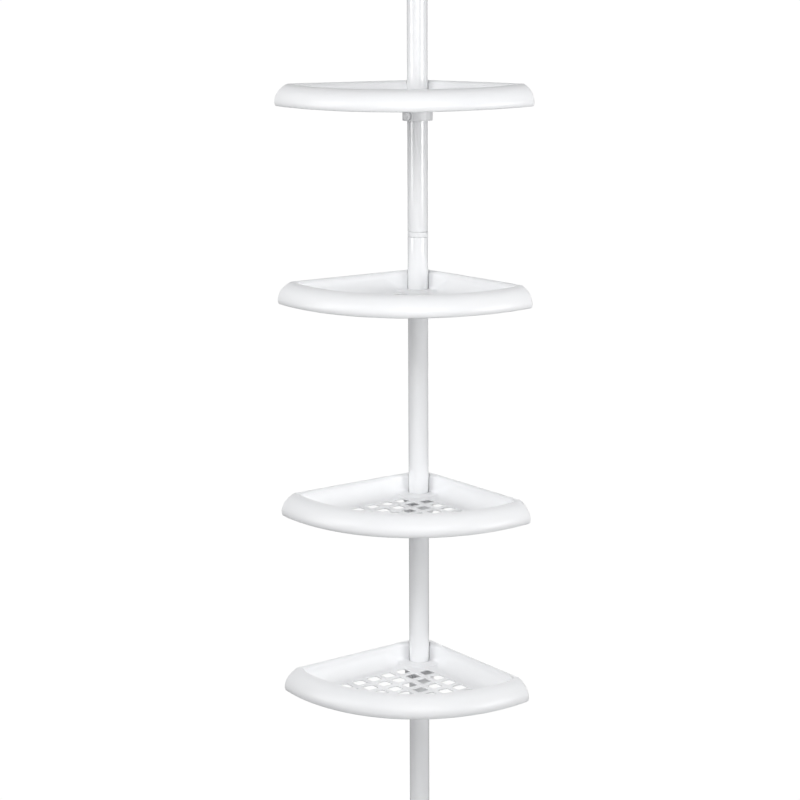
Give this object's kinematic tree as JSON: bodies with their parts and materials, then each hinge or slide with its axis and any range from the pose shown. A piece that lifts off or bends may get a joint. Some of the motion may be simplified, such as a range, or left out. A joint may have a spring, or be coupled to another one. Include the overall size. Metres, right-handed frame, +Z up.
{
  "type": "tension pole shelf unit",
  "caption": "Spring-tensioned floor-to-ceiling pole carrying corner trays with lattice floors, each held by a clamp collar.",
  "frame": {"origin": "centre of the underside of the floor pad, on the pole's axis", "axes": "+Z up along the pole, +Y from the pole towards the room's corner, -Y towards the front of the trays, +X to the right as the picture looks at it"},
  "size_m": [0.265, 0.201, 1.96],
  "materials": {
    "white_enamel": "gloss white enamel on steel tube",
    "shelf_plastic": "satin white injection moulding",
    "white_moulding": "satin white moulding",
    "grey_rubber": "matt non-marking rubber",
    "bare_steel": "zinc-plated steel"
  },
  "bodies": {
    "root": {"floor_pad": "grey_rubber", "floor_foot": "white_moulding", "pole_lower": "white_enamel", "pole_coupler_lower": "white_moulding", "pole_middle": "white_enamel", "pole_coupler_upper": "white_moulding", "pole_upper": "white_enamel", "lock_collet": "white_moulding"},
    "lock_ring": {"lock_ring": "white_moulding"},
    "telescope": {"inner_tube": "white_enamel", "glide_plug": "white_moulding", "spring_seat": "white_moulding", "tension_spring": "bare_steel", "tube_cap": "white_moulding"},
    "plunger": {"plunger_stem": "bare_steel", "ceiling_cup": "white_moulding", "ceiling_pad": "grey_rubber"},
    "collar_1": {"collar_1": "white_moulding", "collar_nut_1": "bare_steel"},
    "shelf_1": {"shelf_1": "shelf_plastic"},
    "collar_screw_1": {"collar_screw_1": "white_moulding"},
    "collar_2": {"collar_2": "white_moulding", "collar_nut_2": "bare_steel"},
    "shelf_2": {"shelf_2": "shelf_plastic"},
    "collar_screw_2": {"collar_screw_2": "white_moulding"},
    "collar_3": {"collar_3": "white_moulding", "collar_nut_3": "bare_steel"},
    "shelf_3": {"shelf_3": "shelf_plastic"},
    "collar_screw_3": {"collar_screw_3": "white_moulding"},
    "collar_4": {"collar_4": "white_moulding", "collar_nut_4": "bare_steel"},
    "shelf_4": {"shelf_4": "shelf_plastic"},
    "collar_screw_4": {"collar_screw_4": "white_moulding"}
  },
  "joints": [
    {"name": "lock_ring_twist", "type": "hinge", "parent": "root", "child": "lock_ring", "pos_m": [0, 0, 1.56], "axis": [0, 0, 1], "range_deg": [0, 90]},
    {"name": "height_telescope", "type": "slide", "parent": "root", "child": "telescope", "axis": [0, 0, 1], "range_m": [-0.14, 0.28]},
    {"name": "spring_plunger", "type": "slide", "parent": "telescope", "child": "plunger", "axis": [0, 0, 1], "range_m": [-0.03, 0], "stiffness_N_per_m": 2000, "springref_m": 0.01, "deforming": ["tension_spring"]},
    {"name": "shelf_1_height", "type": "slide", "parent": "root", "child": "collar_1", "axis": [0, 0, 1], "range_m": [-0.07, 0.3]},
    {"name": "shelf_1_swivel", "type": "hinge", "parent": "collar_1", "child": "shelf_1", "pos_m": [0, 0, 1.2033], "axis": [0, 0, 1], "continuous": true},
    {"name": "collar_screw_1_turn", "type": "hinge", "parent": "collar_1", "child": "collar_screw_1", "pos_m": [0, 0, 1.1663], "axis": [-0.515, -0.8572, 0], "continuous": true},
    {"name": "shelf_2_height", "type": "slide", "parent": "root", "child": "collar_2", "axis": [0, 0, 1], "range_m": [-0.07, 0.07]},
    {"name": "shelf_2_swivel", "type": "hinge", "parent": "collar_2", "child": "shelf_2", "pos_m": [0, 0, 0.9997], "axis": [0, 0, 1], "continuous": true},
    {"name": "collar_screw_2_turn", "type": "hinge", "parent": "collar_2", "child": "collar_screw_2", "pos_m": [0, 0, 0.9627], "axis": [-0.515, -0.8572, 0], "continuous": true},
    {"name": "shelf_3_height", "type": "slide", "parent": "root", "child": "collar_3", "axis": [0, 0, 1], "range_m": [-0.07, 0.07]},
    {"name": "shelf_3_swivel", "type": "hinge", "parent": "collar_3", "child": "shelf_3", "pos_m": [0, 0, 0.7726], "axis": [0, 0, 1], "continuous": true},
    {"name": "collar_screw_3_turn", "type": "hinge", "parent": "collar_3", "child": "collar_screw_3", "pos_m": [0, 0, 0.7356], "axis": [-0.515, -0.8572, 0], "continuous": true},
    {"name": "shelf_4_height", "type": "slide", "parent": "root", "child": "collar_4", "axis": [0, 0, 1], "range_m": [-0.44, 0.07]},
    {"name": "shelf_4_swivel", "type": "hinge", "parent": "collar_4", "child": "shelf_4", "pos_m": [0, 0, 0.5768], "axis": [0, 0, 1], "continuous": true},
    {"name": "collar_screw_4_turn", "type": "hinge", "parent": "collar_4", "child": "collar_screw_4", "pos_m": [0, 0, 0.5398], "axis": [-0.515, -0.8572, 0], "continuous": true}
  ]
}
